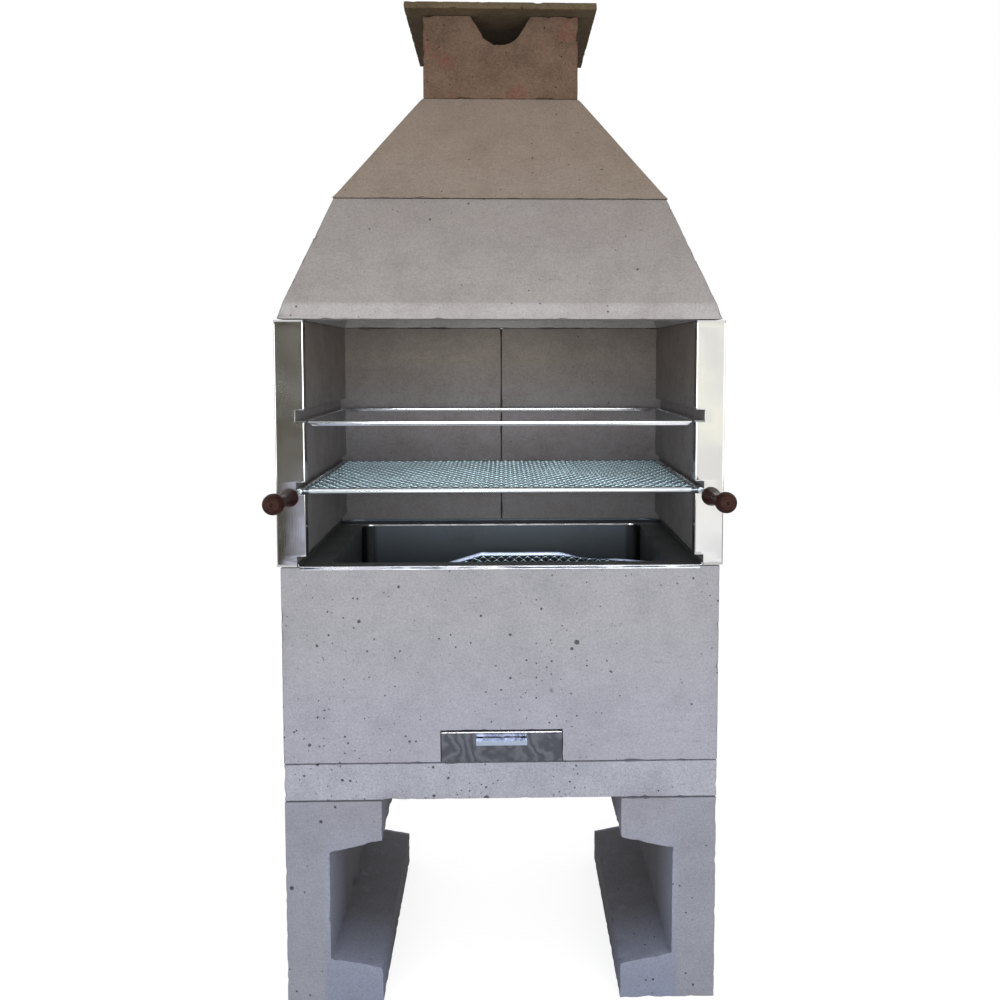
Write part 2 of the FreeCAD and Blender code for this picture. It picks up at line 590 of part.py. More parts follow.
def pull_screws():
    """Two pan-head screws put in from inside the drawer."""
    z = PULL_BOTTOM + PULL_HEIGHT / 2
    tip = DRAWER_RECESS - PULL_SPACER_DEPTH - 2 * SHEET
    screws = []
    for x in (-PULL_SCREW_PITCH / 2, PULL_SCREW_PITCH / 2):
        shank = bar_along_y(x, z, tip, TRAY_FRONT, PULL_SCREW_RADIUS)
        head = bar_along_y(x, z, TRAY_FRONT, TRAY_FRONT + PULL_SCREW_HEAD,
                           PULL_SCREW_HEAD_RADIUS)
        screws.append(shank.fuse(head).removeSplitter())
    return Part.makeCompound(screws)


def pull_spacer():
    half = PULL_SPACER_WIDTH / 2
    block = box((-half, half), (DRAWER_RECESS - PULL_SPACER_DEPTH, DRAWER_RECESS),
                (PULL_BOTTOM + SHEET, PULL_BOTTOM + PULL_HEIGHT - SHEET))
    return block.cut(pull_screw_holes())


def drawer_pull():
    """A rectangular tube, open at both ends."""
    half = PULL_WIDTH / 2
    rear = DRAWER_RECESS - PULL_SPACER_DEPTH
    tube = box((-half, half), (rear - PULL_DEPTH, rear),
               (PULL_BOTTOM, PULL_BOTTOM + PULL_HEIGHT))
    hollow = box((-half, half), (rear - PULL_DEPTH + SHEET, rear - SHEET),
                 (PULL_BOTTOM + SHEET, PULL_BOTTOM + PULL_HEIGHT - SHEET))
    return tube.cut(hollow).cut(pull_screw_holes())


def main():
    os.makedirs("parts", exist_ok=True)
    save("leg_left", leg())
    save("leg_right", mirrored(leg()))
    save("base_slab", base_slab())
    save("firebox", firebox())
    save("chamber_left", chamber_half(-1))
    save("chamber_right", chamber_half(1))
    save("hood_lower", lower_hood())
    save("hood_upper", upper_hood())
    save("chimney_duct", chimney_duct())
    save("chimney_cap", chimney_cap())
    save("edge_strip_right", edge_strip())
    save("edge_strip_left", mirrored(edge_strip()))

    save("skewer_rail_front", skewer_cross_rail(0, 1))
    save("skewer_rail_back", skewer_cross_rail(SHELF_REAR, -1))
    save("skewer_rail_right", skewer_side_rail())
    save("skewer_rail_left", mirrored(skewer_side_rail()))

    save("grill_side_bar_right", grill_side_bar())
    save("grill_side_bar_left", mirrored(grill_side_bar()))
    save("grill_front_bar", grill_front_bar())
    save("grill_cross_bar_front", grill_cross_bar(GRILL_FRONT_BAR_Y + cross_bar_offset()))
    save("grill_cross_bar_back", grill_cross_bar(SHELF_REAR - GRILL_CROSS_RADIUS))
    save("grill_mesh", grill_mesh())
    save("handle_rod_right", handle_rod())
    save("handle_rod_left", mirrored(handle_rod()))
    save("wooden_handle_right", wooden_handle())
    save("wooden_handle_left", mirrored(wooden_handle()))

    save("brazier_pan", brazier_pan())
    save("ash_chute", ash_chute())
    save("grate_mesh", grate_mesh())
    save("grate_leg", grate_leg())
    save("grate_strip_front", grate_strip(GRATE_FRONT_Y - GRATE_STRIP_THICKNESS,
                                          GRATE_FRONT_SHARE))
    save("grate_strip_rear", grate_strip(GRATE_REAR_Y, 1.0))

    save("drawer_tray", drawer_tray())
    save("drawer_front", drawer_front())
    save("pull_spacer", pull_spacer())
    save("drawer_pull", drawer_pull())
    save("pull_screws", pull_screws())


main()
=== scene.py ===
import json
import math
import random

import bmesh
import bpy
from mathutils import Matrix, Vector, noise


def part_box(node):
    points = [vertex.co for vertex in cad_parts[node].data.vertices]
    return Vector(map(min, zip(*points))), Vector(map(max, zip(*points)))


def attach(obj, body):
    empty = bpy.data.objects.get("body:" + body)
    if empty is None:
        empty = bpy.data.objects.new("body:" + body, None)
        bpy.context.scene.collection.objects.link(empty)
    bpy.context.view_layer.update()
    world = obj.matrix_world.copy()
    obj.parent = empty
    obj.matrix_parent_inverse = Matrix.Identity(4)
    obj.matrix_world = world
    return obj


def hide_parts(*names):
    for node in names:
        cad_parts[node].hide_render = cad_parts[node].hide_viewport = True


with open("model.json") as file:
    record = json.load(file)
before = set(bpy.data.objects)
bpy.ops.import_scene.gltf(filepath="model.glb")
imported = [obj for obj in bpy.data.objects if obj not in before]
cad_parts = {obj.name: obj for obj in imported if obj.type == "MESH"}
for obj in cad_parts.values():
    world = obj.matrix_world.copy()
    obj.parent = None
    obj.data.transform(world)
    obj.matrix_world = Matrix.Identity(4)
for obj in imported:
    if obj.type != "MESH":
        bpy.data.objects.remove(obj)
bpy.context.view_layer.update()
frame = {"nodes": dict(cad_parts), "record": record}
nodes = frame["nodes"]
body_of = {node: body for body, names in frame["record"]["behaviour"]["bodies"].items() for node in names}
slots = {part["node"]: part["material_slot"] for part in frame["record"]["subparts"]}
rng = random.Random(7)

FRONT_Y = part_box("firebox")[0][1]      # front face of the castings
LEG_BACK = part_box("leg_left")[1][1]
HOOD_FOOT, HOOD_TOP = (corner[2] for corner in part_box("hood_lower"))
PLATE_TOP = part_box("drawer_front")[1][2]
STRIP_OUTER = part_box("edge_strip_right")[1][0]

# the pan, as in the CAD
PAN_UPTURN = 0.004
PAN_REAR_FLANGE = 0.046
PAN_SIDE_FLANGE = 0.049

SAME_POINT = 0.00001                   # vertices closer than this are one


# ---------------------------------------------------------------- materials
class Graph:
    """Shorthand for one material's nodes."""

    def __init__(self, name):
        self.material = bpy.data.materials.new(name)
        self.material.use_nodes = True
        tree = self.material.node_tree
        self.nodes, self.links = tree.nodes, tree.links
        self.shader = self.nodes["Principled BSDF"]
        self.at = self.nodes.new("ShaderNodeTexCoord").outputs["Object"]

    def plug(self, socket, value):
        if isinstance(value, bpy.types.NodeSocket):
            self.links.new(value, socket)
        else:
            socket.default_value = value

    def add(self, kind, output=0, **inputs):
        node = self.nodes.new("ShaderNode" + kind)
        for key, value in inputs.items():
            self.plug(node.inputs[key.replace("_", " ")], value)
        return node.outputs[output]

    def math(self, operation, a, b=0.0, c=0.0):
        node = self.nodes.new("ShaderNodeMath")
        node.operation = operation
        for socket, value in zip(node.inputs, (a, b, c)):
            self.plug(socket, value)
        return node.outputs[0]

    def mix(self, factor, a, b, blend="MIX"):
        node = self.nodes.new("ShaderNodeMix")
        node.data_type = "RGBA"
        node.blend_type = blend
        self.plug(node.inputs[0], factor)
        self.plug(node.inputs[6], rgba(a))
        self.plug(node.inputs[7], rgba(b))
        return node.outputs[2]

    def span(self, value, low, high, out_low=0.0, out_high=1.0):
        """value mapped from low..high to out_low..out_high, held at both ends."""
        return self.add("MapRange", Value=value, From_Min=low, From_Max=high,
                        To_Min=out_low, To_Max=out_high)

    def noise(self, scale, detail=3.0, rough=0.55, at=None):
        return self.add("TexNoise", Vector=at or self.at, Scale=scale, Detail=detail, Roughness=rough)

    def scaled(self, factors):
        node = self.nodes.new("ShaderNodeVectorMath")
        node.operation = "MULTIPLY"
        self.links.new(self.at, node.inputs[0])
        node.inputs[1].default_value = factors
        return node.outputs[0]

    def axis(self, letter):
        node = self.nodes.new("ShaderNodeSeparateXYZ")
        self.links.new(self.at, node.inputs[0])
        return node.outputs[letter]

    def bump(self, height, distance):
        return self.add("Bump", Height=height, Distance=distance, Strength=1.0)

    def surface(self, colour, rough, normal=None, **values):
        self.plug(self.shader.inputs["Base Color"], rgba(colour))
        self.plug(self.shader.inputs["Roughness"], rough)
        if normal is not None:
            self.plug(self.shader.inputs["Normal"], normal)
        for key, value in values.items():
            self.shader.inputs[key.replace("_", " ")].default_value = value
        return self.material


def rgba(value):
    if isinstance(value, tuple) and len(value) == 3:
        return (*value, 1.0)
    return value


def srgb(red, green, blue):
    """Linear colour from 0..255 display values."""
    def linear(v):
        v /= 255
        return v / 12.92 if v <= 0.04045 else ((v + 0.055) / 1.055) ** 2.4
    return (linear(red), linear(green), linear(blue))


def edged(g, colour, edges):
    """edges lists (axis, from, to, tint): another tint beyond a line. X counts both ways from the middle."""
    for letter, start, stop, tint in edges:
        where = g.math("ABSOLUTE", g.axis(letter)) if letter == "X" else g.axis(letter)
        colour = g.mix(g.span(where, start, stop), colour, tint)
    return colour


def pits(g, scale, share, largest, crowd):
    """1 inside ragged air holes: one per cell of 1/scale metres, in a share of the cells."""
    cell = g.add("TexVoronoi", 1, Vector=g.at, Scale=scale, Randomness=1.0)
    away = g.add("TexVoronoi", 0, Vector=g.at, Scale=scale, Randomness=1.0)
    pick = g.add("SeparateColor", 0, Color=cell)
    radius = g.math("MULTIPLY", g.span(pick, 1 - share, 1.0, 0.0, largest * scale), crowd)
    ragged = g.math("MULTIPLY_ADD", g.noise(scale * 4, 3.0, 0.7), 1.1, 0.42)
    ratio = g.math("DIVIDE", g.math("MULTIPLY", away, ragged), g.math("MAXIMUM", radius, 0.0001))
    return g.span(ratio, 0.7, 1.1, 1.0, 0.0)


def concrete(name, tone, light, dark, pit_sets, grain=1.0, stain=None, stain_share=0.5, edges=()):
    """Cast concrete: faint clouds, rub marks, sand grain, clustered air pits painted dark as painted shade,
    paler on convex edges.
    """
    g = Graph(name)
    cloud = g.span(g.noise(3.2, 3.0, 0.55), 0.34, 0.68)
    patch = g.span(g.noise(16.0, 6.0, 0.72), 0.42, 0.72)
    marks = g.span(g.noise(26.0, 4.0, 0.7, g.scaled((1.0, 1.0, 5.0))), 0.58, 0.74)
    colour = g.mix(g.math("MULTIPLY", cloud, 0.5), tone, light)
    colour = edged(g, colour, edges)
    colour = g.mix(g.math("MULTIPLY", patch, 0.45 * grain), colour, dark)
    colour = g.mix(g.math("MULTIPLY", marks, 0.5), colour, dark)
    if stain is not None:
        area = g.span(g.noise(9.0, 5.0, 0.65), 1 - stain_share, 1.12 - stain_share)
        colour = g.mix(g.math("MULTIPLY", area, 0.6), colour, stain)
    sand = g.noise(300.0, 3.0, 0.8)
    speck = g.span(sand, 0.25, 0.75, 1 - 0.22 * grain, 1 + 0.18 * grain)
    colour = g.mix(1.0, colour, g.add("CombineColor", Red=speck, Green=speck, Blue=speck), "MULTIPLY")
    convex_edge = g.span(g.add("NewGeometry", 7), 0.52, 0.60)
    colour = g.mix(g.math("MULTIPLY", convex_edge, 0.25), colour, light)
    crowd = g.span(g.noise(6.0, 2.0), 0.38, 0.56, 0.1, 1.0)
    hole = None
    for scale, share, largest in pit_sets:
        one = pits(g, scale, share, largest, crowd)
        hole = one if hole is None else g.math("MAXIMUM", hole, one)
    # painted shade: the air pits are painted nearly black, as if shaded inside
    colour = g.mix(g.math("MULTIPLY", hole, 0.8), colour, tuple(0.10 * c for c in tone))
    relief = g.math("MULTIPLY_ADD", g.noise(60.0, 6.0, 0.7), 0.6 * grain,
                    g.math("MULTIPLY", sand, 0.3 * grain))
    relief = g.math("SUBTRACT", relief, g.math("MULTIPLY", hole, 1.2))
    return g.surface(colour, g.span(patch, 0.0, 1.0, 0.80, 0.93), g.bump(relief, 0.0018),
                     Specular_IOR_Level=0.22)


def steel(name, tint, rough, smear, wave=0.0, streak=(1.0, 1.0, 1.0), edges=()):
    """Sheet or bar steel: faint scratches along it, smears in the polish, slow waviness."""
    g = Graph(name)
    smudge = g.noise(22.0, 4.0, 0.6)
    scratch = g.noise(900.0, 2.0, 0.5, g.scaled(streak))
    roughness = g.math("ADD", g.span(smudge, 0.3, 0.75, rough, rough + smear),
                       g.math("MULTIPLY", scratch, 0.05))
    colour = g.mix(g.math("MULTIPLY", smudge, 0.35), tint, tuple(0.86 * c for c in tint))
    colour = edged(g, colour, edges)
    relief = g.math("ADD", g.math("MULTIPLY", g.noise(14.0, 2.0), wave), g.math("MULTIPLY", scratch, 0.012))
    return g.surface(colour, roughness, g.bump(relief, 0.001), Metallic=1.0)


def swirled(name, tint, deep, rough, edges):
    """Polished sheet whose reflection breaks into swirls, painted into its colour as painted reflection."""
    g = Graph(name)
    bent = g.add("TexWave", Vector=g.at, Scale=11.0, Distortion=24.0, Detail=3.0, Detail_Scale=1.2)
    fine = g.noise(45.0, 4.0, 0.6)
    # painted reflection: swirls of light and dark reflection painted into the colour
    colour = g.mix(g.span(bent, 0.1, 0.9), deep, tint)
    colour = g.mix(g.math("MULTIPLY", g.span(fine, 0.4, 0.7), 0.35), colour, deep)
    colour = edged(g, colour, edges)
    return g.surface(colour, g.span(fine, 0.3, 0.7, rough, rough + 0.12), g.bump(bent, 0.0004), Metallic=1.0)


def pan_steel():
    """Heat-darkened sheet, its dark tint partly standing in for dark reflections; painted shade in the well's
    rear corners, painted highlights on the front lip and on the fold above the well's rear wall, and a painted
    dark reflection streak along the lip.
    """
    g = Graph("steel_pan")
    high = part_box("brazier_pan")[1]
    rim, well_rear, well_half = high[2] - PAN_UPTURN, high[1] - PAN_REAR_FLANGE, high[0] - PAN_SIDE_FLANGE
    smudge = g.noise(22.0, 4.0, 0.6)
    dirt = g.span(g.noise(9.0, 5.0, 0.65), 0.55, 0.85)
    back = g.span(g.axis("Y"), well_rear - 0.010, well_rear - 0.002)
    colour = g.mix(back, (0.24, 0.25, 0.255), (0.10, 0.12, 0.14))
    colour = g.mix(g.math("MULTIPLY", smudge, 0.3), colour, (0.09, 0.10, 0.11))
    colour = g.mix(g.math("MULTIPLY", dirt, 0.5), colour, (0.045, 0.043, 0.042))
    # painted shade: the well's rear corners under the rim go nearly black
    side = g.math("ABSOLUTE", g.axis("X"))
    corner = g.math("MULTIPLY", g.span(side, well_half - 0.030, well_half - 0.018),
                    g.span(g.axis("Y"), well_rear - 0.024, well_rear - 0.016))
    below = g.span(g.axis("Z"), rim, rim - 0.004)
    colour = g.mix(g.math("MULTIPLY", corner, below), colour, (0.02, 0.022, 0.024))
    # painted highlight: a white line along the fold above the well's rear wall
    behind = g.span(g.axis("Y"), well_rear - 0.0022, well_rear - 0.0012)
    over = g.math("MULTIPLY", g.span(g.axis("Z"), rim - 0.0028, rim - 0.0020),
                  g.span(g.axis("Y"), well_rear + 0.003, well_rear + 0.002))
    fold = g.math("MULTIPLY", behind, over)
    colour = g.mix(fold, colour, (1.0, 1.0, 1.0))
    # painted highlight: the front lip painted near white
    lip = g.span(g.axis("Y"), FRONT_Y + 0.0010, FRONT_Y + 0.0002)
    colour = g.mix(lip, colour, (0.92, 0.95, 1.0))
    # painted reflection: a broken dark-blue streak along the lip
    streak = g.math("ADD", g.axis("Z"), g.math("MULTIPLY", g.noise(7.0, 3.0), 0.006))
    near = g.math("ABSOLUTE", g.math("SUBTRACT", streak, rim + 0.0004))
    broken = g.span(g.noise(9.0, 3.0, 0.6), 0.44, 0.52)
    dark = g.math("MULTIPLY", g.math("MULTIPLY", g.span(near, 0.0013, 0.0006), broken), lip)
    colour = g.mix(dark, colour, (0.035, 0.055, 0.11))
    bright = g.math("MAXIMUM", lip, fold)
    rough = g.math("SUBTRACT", g.span(smudge, 0.3, 0.75, 0.42, 0.55), g.math("MULTIPLY", bright, 0.22))
    return g.surface(colour, rough, g.bump(g.noise(14.0, 2.0), 0.00005), Metallic=1.0)


look = {
    # lower concrete: bluer towards the bottom, which is painted light from the floor
    "concrete_lower": concrete("concrete_lower", srgb(160, 160, 165), srgb(167, 166, 172), srgb(138, 138, 147),
                               [(24.0, 0.40, 0.0048), (60.0, 0.55, 0.0028), (120.0, 0.6, 0.0017)],
                               edges=[("Z", 0.66, 0.48, srgb(162, 163, 175))]),
    # legs: a darker, bluer copy of the lower concrete as painted light and shade; bluer towards the feet as
    # painted floor light, darker from 2 cm behind the front as painted shade, outer and rear faces back near
    # the plain tone
    "concrete_leg_painted_shade": concrete("concrete_leg_painted_shade", srgb(147, 148, 158), srgb(153, 154, 165), srgb(130, 131, 143),
                             [(40.0, 0.25, 0.0030), (90.0, 0.35, 0.0018)],
                             edges=[("Z", 0.33, 0.22, srgb(149, 153, 170)),
                                    ("Z", 0.14, 0.04, srgb(136, 142, 162)),
                                    ("Y", FRONT_Y + 0.02, FRONT_Y + 0.16, srgb(108, 107, 111)),
                                    ("X", 0.292, 0.300, srgb(147, 149, 160)),
                                    ("Y", LEG_BACK - 0.012, LEG_BACK - 0.004, srgb(147, 149, 160))]),
    "concrete_slab": concrete("concrete_slab", srgb(167, 169, 180), srgb(173, 174, 185), srgb(138, 139, 150),
                              [(40.0, 0.45, 0.0045), (80.0, 0.55, 0.0028), (150.0, 0.5, 0.0015)], grain=1.4),
    # chamber: greyer below the top, and darker low down as painted shade
    "concrete_chamber": concrete("concrete_chamber", srgb(136, 128, 121), srgb(142, 134, 127),
                                 srgb(110, 102, 97), [(40.0, 0.25, 0.003), (100.0, 0.2, 0.0014)],
                                 edges=[("Z", 1.08, 0.98, srgb(138, 136, 138)),
                                        ("Z", 0.88, 0.80, srgb(124, 123, 125))]),
    # lower hood: lighter towards the foot and lightest on the band at the foot, which is painted light from the
    # front
    "concrete_hood_lower": concrete("concrete_hood_lower", srgb(155, 148, 145), srgb(162, 156, 154),
                                    srgb(136, 129, 126), [(40.0, 0.3, 0.0030), (110.0, 0.35, 0.0016)],
                                    edges=[("Z", HOOD_TOP - 0.05, HOOD_FOOT + 0.05, srgb(164, 158, 157)),
                                           ("Z", HOOD_FOOT + 0.03, HOOD_FOOT + 0.02, srgb(175, 171, 171))]),
    # upper hood: lighter towards its foot, which is painted light from the front
    "concrete_hood_upper": concrete("concrete_hood_upper", srgb(143, 128, 115), srgb(151, 137, 126),
                                    srgb(124, 109, 96), [(40.0, 0.25, 0.0028), (110.0, 0.25, 0.0014)],
                                    edges=[("Z", HOOD_TOP + 0.14, HOOD_TOP, srgb(150, 137, 126))]),
    "concrete_chimney": concrete("concrete_chimney", srgb(112, 91, 76), srgb(122, 101, 85), srgb(80, 64, 52),
                                 [(42.0, 0.4, 0.0036), (100.0, 0.5, 0.0022)], grain=1.7,
                                 stain=srgb(122, 72, 62), stain_share=0.46),
    "concrete_cap": concrete("concrete_cap", srgb(99, 85, 66), srgb(115, 100, 76), srgb(74, 63, 47),
                             [(50.0, 0.3, 0.003), (130.0, 0.3, 0.0016)], grain=1.6),
    "steel_mirror": steel("steel_mirror", (0.84, 0.87, 0.92), 0.07, 0.08, wave=0.05, streak=(0.03, 1.0, 1.0)),
    # edge strips: a painted shadow line along the outer edge, and the returns behind the front painted dark as
    # painted shade
    "steel_strip": steel("steel_strip", (0.86, 0.86, 0.85), 0.03, 0.05, wave=0.28, streak=(1.0, 1.0, 0.03),
                         edges=[("X", STRIP_OUTER - 0.0016, STRIP_OUTER - 0.0006, (0.30, 0.30, 0.31)),
                                ("Y", FRONT_Y + 0.0020, FRONT_Y + 0.0040, (0.10, 0.10, 0.11))]),
    "steel_pull": steel("steel_pull", (0.62, 0.72, 0.92), 0.10, 0.06, streak=(0.03, 1.0, 1.0)),
    "steel_pan": pan_steel(),
    "steel_bar": steel("steel_bar", (0.86, 0.93, 0.98), 0.20, 0.10, streak=(0.05, 1.0, 1.0)),
    "steel_mesh": steel("steel_mesh", (0.86, 0.96, 1.0), 0.30, 0.10),
    # a darker copy of the mesh steel for the strands' top faces: painted shade
    "steel_mesh_painted_shade": steel("steel_mesh_painted_shade", (0.05, 0.065, 0.09), 0.40, 0.10),
    "steel_band": steel("steel_band", (0.52, 0.60, 0.80), 0.26, 0.10, wave=0.3),
    # drawer: the dark swirled tint stands in for dark reflections, and the white line under the top fold is a
    # painted highlight
    "steel_drawer": swirled("steel_drawer", (0.24, 0.25, 0.30), (0.145, 0.152, 0.185), 0.18,
                            [("Z", PLATE_TOP - 0.0020, PLATE_TOP - 0.0012, (0.95, 0.95, 0.98))]),
}
# pieces whose finish differs from the rest of their slot; the legs' and edge strips' materials also carry
# painted light and shade
special = {"leg_left": "concrete_leg_painted_shade", "leg_right": "concrete_leg_painted_shade", "drawer_pull": "steel_pull",
           "edge_strip_left": "steel_strip", "edge_strip_right": "steel_strip",
           "grate_strip_front": "steel_band", "grate_strip_rear": "steel_band"}


def wood():
    """Turned hardwood under dark, glossy red-brown varnish."""
    g = Graph("wood_handle")
    grain = g.noise(260.0, 5.0, 0.6, g.scaled((1.0, 0.06, 1.0)))
    rings = g.add("TexWave", Vector=g.scaled((1.0, 0.10, 1.0)), Scale=120.0, Distortion=6.0, Detail=3.0)
    colour = g.mix(g.span(grain, 0.35, 0.7), srgb(42, 20, 15), srgb(66, 33, 25))
    colour = g.mix(g.math("MULTIPLY", rings, 0.35), colour, srgb(26, 13, 11))
    return g.surface(colour, g.span(grain, 0.3, 0.7, 0.42, 0.55), g.bump(grain, 0.0002),
                     Specular_IOR_Level=0.12, Coat_Weight=0.06, Coat_Roughness=0.25)


look["wood_handle"] = wood()


def paint(piece, node):
    piece.data.materials.clear()
    piece.data.materials.append(look[special.get(node, slots[node])])


# ---------------------------------------------------------------- CAD nodes kept
def is_casting(node):
    return slots[node].startswith("concrete")


for name, piece in nodes.items():
    paint(piece, name)
    if not is_casting(name) and slots[name] != "wood_handle":
        weld = piece.modifiers.new("weld", "WELD")
        weld.merge_threshold = SAME_POINT
        bevel = piece.modifiers.new("arris", "BEVEL")
        bevel.width = 0.0003
        bevel.segments = 2
        bevel.limit_method = "ANGLE"
        bevel.angle_limit = math.radians(35)
        bevel.harden_normals = True


# ---------------------------------------------------------------- new pieces
def new_piece(name, verts, faces, node, smooth=True):
    """A mesh that stands for a CAD node and rides with it."""
    mesh = bpy.data.meshes.new(name)
    mesh.from_pydata([tuple(v) for v in verts], [], faces)
    mesh.update()
    fixed = bmesh.new()
    fixed.from_mesh(mesh)
    bmesh.ops.recalc_face_normals(fixed, faces=fixed.faces)
    fixed.to_mesh(mesh)
    fixed.free()
    if smooth:
        mesh.shade_smooth()
    piece = bpy.data.objects.new(name, mesh)
    bpy.context.scene.collection.objects.link(piece)
    dress(piece, node)
    return piece


ARRIS = 0.0014         # width of a casting's eased edges
BEDDING = 0.0013       # how far its top and bottom faces stand back round the outside
BEDDING_RIM = 0.030    # how far in from the outside that ends
BEDDING_FADE = 0.015   # and over what width


def casting(node, step, chip):
    """The CAD shape cut into a fine grid, its edges eased and chipped, its faces a little uneven."""
    cut = bmesh.new()
    cut.from_mesh(nodes[node].data)
    bmesh.ops.remove_doubles(cut, verts=cut.verts, dist=SAME_POINT)
    bmesh.ops.dissolve_limit(cut, angle_limit=0.01, verts=cut.verts, edges=cut.edges)
    low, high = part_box(node)
    for axis in range(3):
        count = max(1, round((high[axis] - low[axis]) / step))
        normal = Vector((axis == 0, axis == 1, axis == 2))
        for i in range(1, count):
            at = normal * (low[axis] + (high[axis] - low[axis]) * i / count)
            bmesh.ops.bisect_plane(cut, geom=cut.verts[:] + cut.edges[:] + cut.faces[:],
                                   dist=0.0004, plane_co=at, plane_no=normal)
    sharp = [e for e in cut.edges if len(e.link_faces) == 2 and e.calc_face_angle() > 0.35]
    bmesh.ops.bevel(cut, geom=sharp, offset=ARRIS, offset_type="OFFSET", segments=2, profile=0.5,
                    affect="EDGES", clamp_overlap=True)
    cut.normal_update()
    moves = []
    for v in cut.verts:
        turn = min((v.normal.dot(f.normal) for f in v.link_faces), default=1.0)
        if turn < 0.985:
            rough = noise.noise(v.co * 55) + 0.6 * noise.noise(v.co * 140)
            depth = 0.0005 + max(0.0, rough - 0.05) * chip
        elif abs(v.normal.z) > 0.9:
            depth = 0.0
        else:
            depth = 0.0003 + 0.0003 * noise.noise(v.co * 9)
        move = v.normal * -depth
        inward = min(max(-low[0], high[0]) - abs(v.co.x), v.co.y - low[1], high[1] - v.co.y)
        open_by = BEDDING * min(1.0, max(0.0, (BEDDING_RIM - inward) / BEDDING_FADE))
        if low[2] > BEDDING and v.co.z - low[2] < 1.2 * ARRIS:
            move.z = max(move.z, open_by)
        elif high[2] - v.co.z < 1.2 * ARRIS:
            move.z = min(move.z, -open_by)
        moves.append((v, move))
    for v, move in moves:
        v.co += move
    mesh = bpy.data.meshes.new(node + "_cast")
    cut.to_mesh(mesh)
    cut.free()
    mesh.shade_smooth()
    piece = bpy.data.objects.new(node + "_cast", mesh)
    bpy.context.scene.collection.objects.link(piece)
    piece.modifiers.new("flat", "WEIGHTED_NORMAL")
    dress(piece, node)


def dress(piece, node):
    """piece takes the material, the body and the place of a CAD node."""
    paint(piece, node)
    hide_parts(node)
    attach(piece, body_of[node])


for name in nodes:
    if is_casting(name):
        small = name.startswith("chimney")
        casting(name, 0.006 if small else 0.010, 0.0050 if small else 0.0040)


# expanded metal: cells 17 mm wide and 32 mm deep
CELL_HALF_X = 0.0083
CELL_HALF_Y = 0.0160
STRAND_HALF = 0.0009
STRAND_SLANT = 0.0003
STRAND_BODY = 0.0014
BOND_BODY = 0.0026
MESH_MARGIN = 0.0012     # between the strands' middle lines and the sheet's edge


def expanded_metal(x_low, x_high, y_low, y_high, surface):
    """Vertices and faces of a cut sheet of expanded metal; surface(x, y) gives its mid height.
    Each strand is deepest where it joins its neighbours; upper marks the faces of its top."""
    verts, faces, upper = [], [], []
    columns = round((x_high - x_low) / (2 * CELL_HALF_X))
    rows = round((y_high - y_low) / (2 * CELL_HALF_Y))
    a = (x_high - x_low) / columns / 2
    b = (y_high - y_low) / rows / 2

    def strand(x0, y0, x1, y1):
        length = math.hypot(x1 - x0, y1 - y0)
        along = ((x1 - x0) / length, (y1 - y0) / length)
        across = (-along[1], along[0])
        if across[1] < 0:
            across = (-across[0], -across[1])
        wobble = rng.uniform(0.9, 1.1)
        start = len(verts)
        stations = 3
        for i in range(stations):
            t = i / (stations - 1)
            x = x0 + (x1 - x0) * t
            y = y0 + (y1 - y0) * t
            middle = 1 - abs(2 * t - 1)
            width = STRAND_HALF * wobble * (1.3 - 0.45 * middle)
            body = BOND_BODY + (STRAND_BODY - BOND_BODY) * middle
            for side, level in ((-1, 1), (1, 1), (1, -1), (-1, -1)):
                off = width * (-0.78 if (side, level) == (-1, 1) else side)
                px = x + across[0] * off
                py = y + across[1] * off
                verts.append((px, py, surface(px, py) + STRAND_SLANT * middle * side + level * body / 2))
        for i in range(stations - 1):
            ring, after = start + 4 * i, start + 4 * (i + 1)
            for k in range(4):
                faces.append((ring + k, ring + (k + 1) % 4, after + (k + 1) % 4, after + k))
                upper.append(k == 0)
        faces.append((start, start + 3, start + 2, start + 1))
        end = start + 4 * (stations - 1)
        faces.append((end, end + 1, end + 2, end + 3))
        upper.extend((False, False))

    for i in range(2 * columns + 1):
        for j in range(2 * rows + 1):
            if (i + j) % 2 == 0:
                continue
            x, y = x_low + a * i, y_low + b * j
            for step in (-1, 1):
                if 0 <= i + step <= 2 * columns and j + 1 <= 2 * rows:
                    strand(x, y, x + a * step, y + b)
    return verts, faces, upper


def lay_mesh(name, node, sheet):
    """The expanded metal, its top faces in a darker copy of its steel as painted shade."""
    verts, faces, upper = sheet
    piece = new_piece(name, verts, faces, node, smooth=False)
    # painted shade: the strands' top faces take the dark copy of the steel
    piece.data.materials.append(look["steel_mesh_painted_shade"])
    for face, top in zip(piece.data.polygons, upper):
        face.material_index = int(top)


def middle_lines(node):
    """The x and y range that the strands' middle lines cover on a CAD sheet."""
    low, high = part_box(node)
    return low[0] + MESH_MARGIN, high[0] - MESH_MARGIN, low[1] + MESH_MARGIN, high[1] - MESH_MARGIN


grill_low, grill_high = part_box("grill_mesh")
GRILL_LEVEL = (grill_low[2] + grill_high[2]) / 2
lay_mesh("expanded_grill", "grill_mesh",
         expanded_metal(*middle_lines("grill_mesh"), lambda x, y: GRILL_LEVEL))

# the charcoal grate: the same metal bent into a low vault, lower at the front
BAND_HEIGHT = 0.0080
grate_low, grate_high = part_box("grate_mesh")
floor_z = grate_low[2] - 0.0005
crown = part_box("grate_strip_rear")[1][2] - BAND_HEIGHT - floor_z
CROWN_LEFT, CROWN_RIGHT, RIGHT_DROP, FRONT_SHARE = -0.038, 0.107, 0.015, 0.6


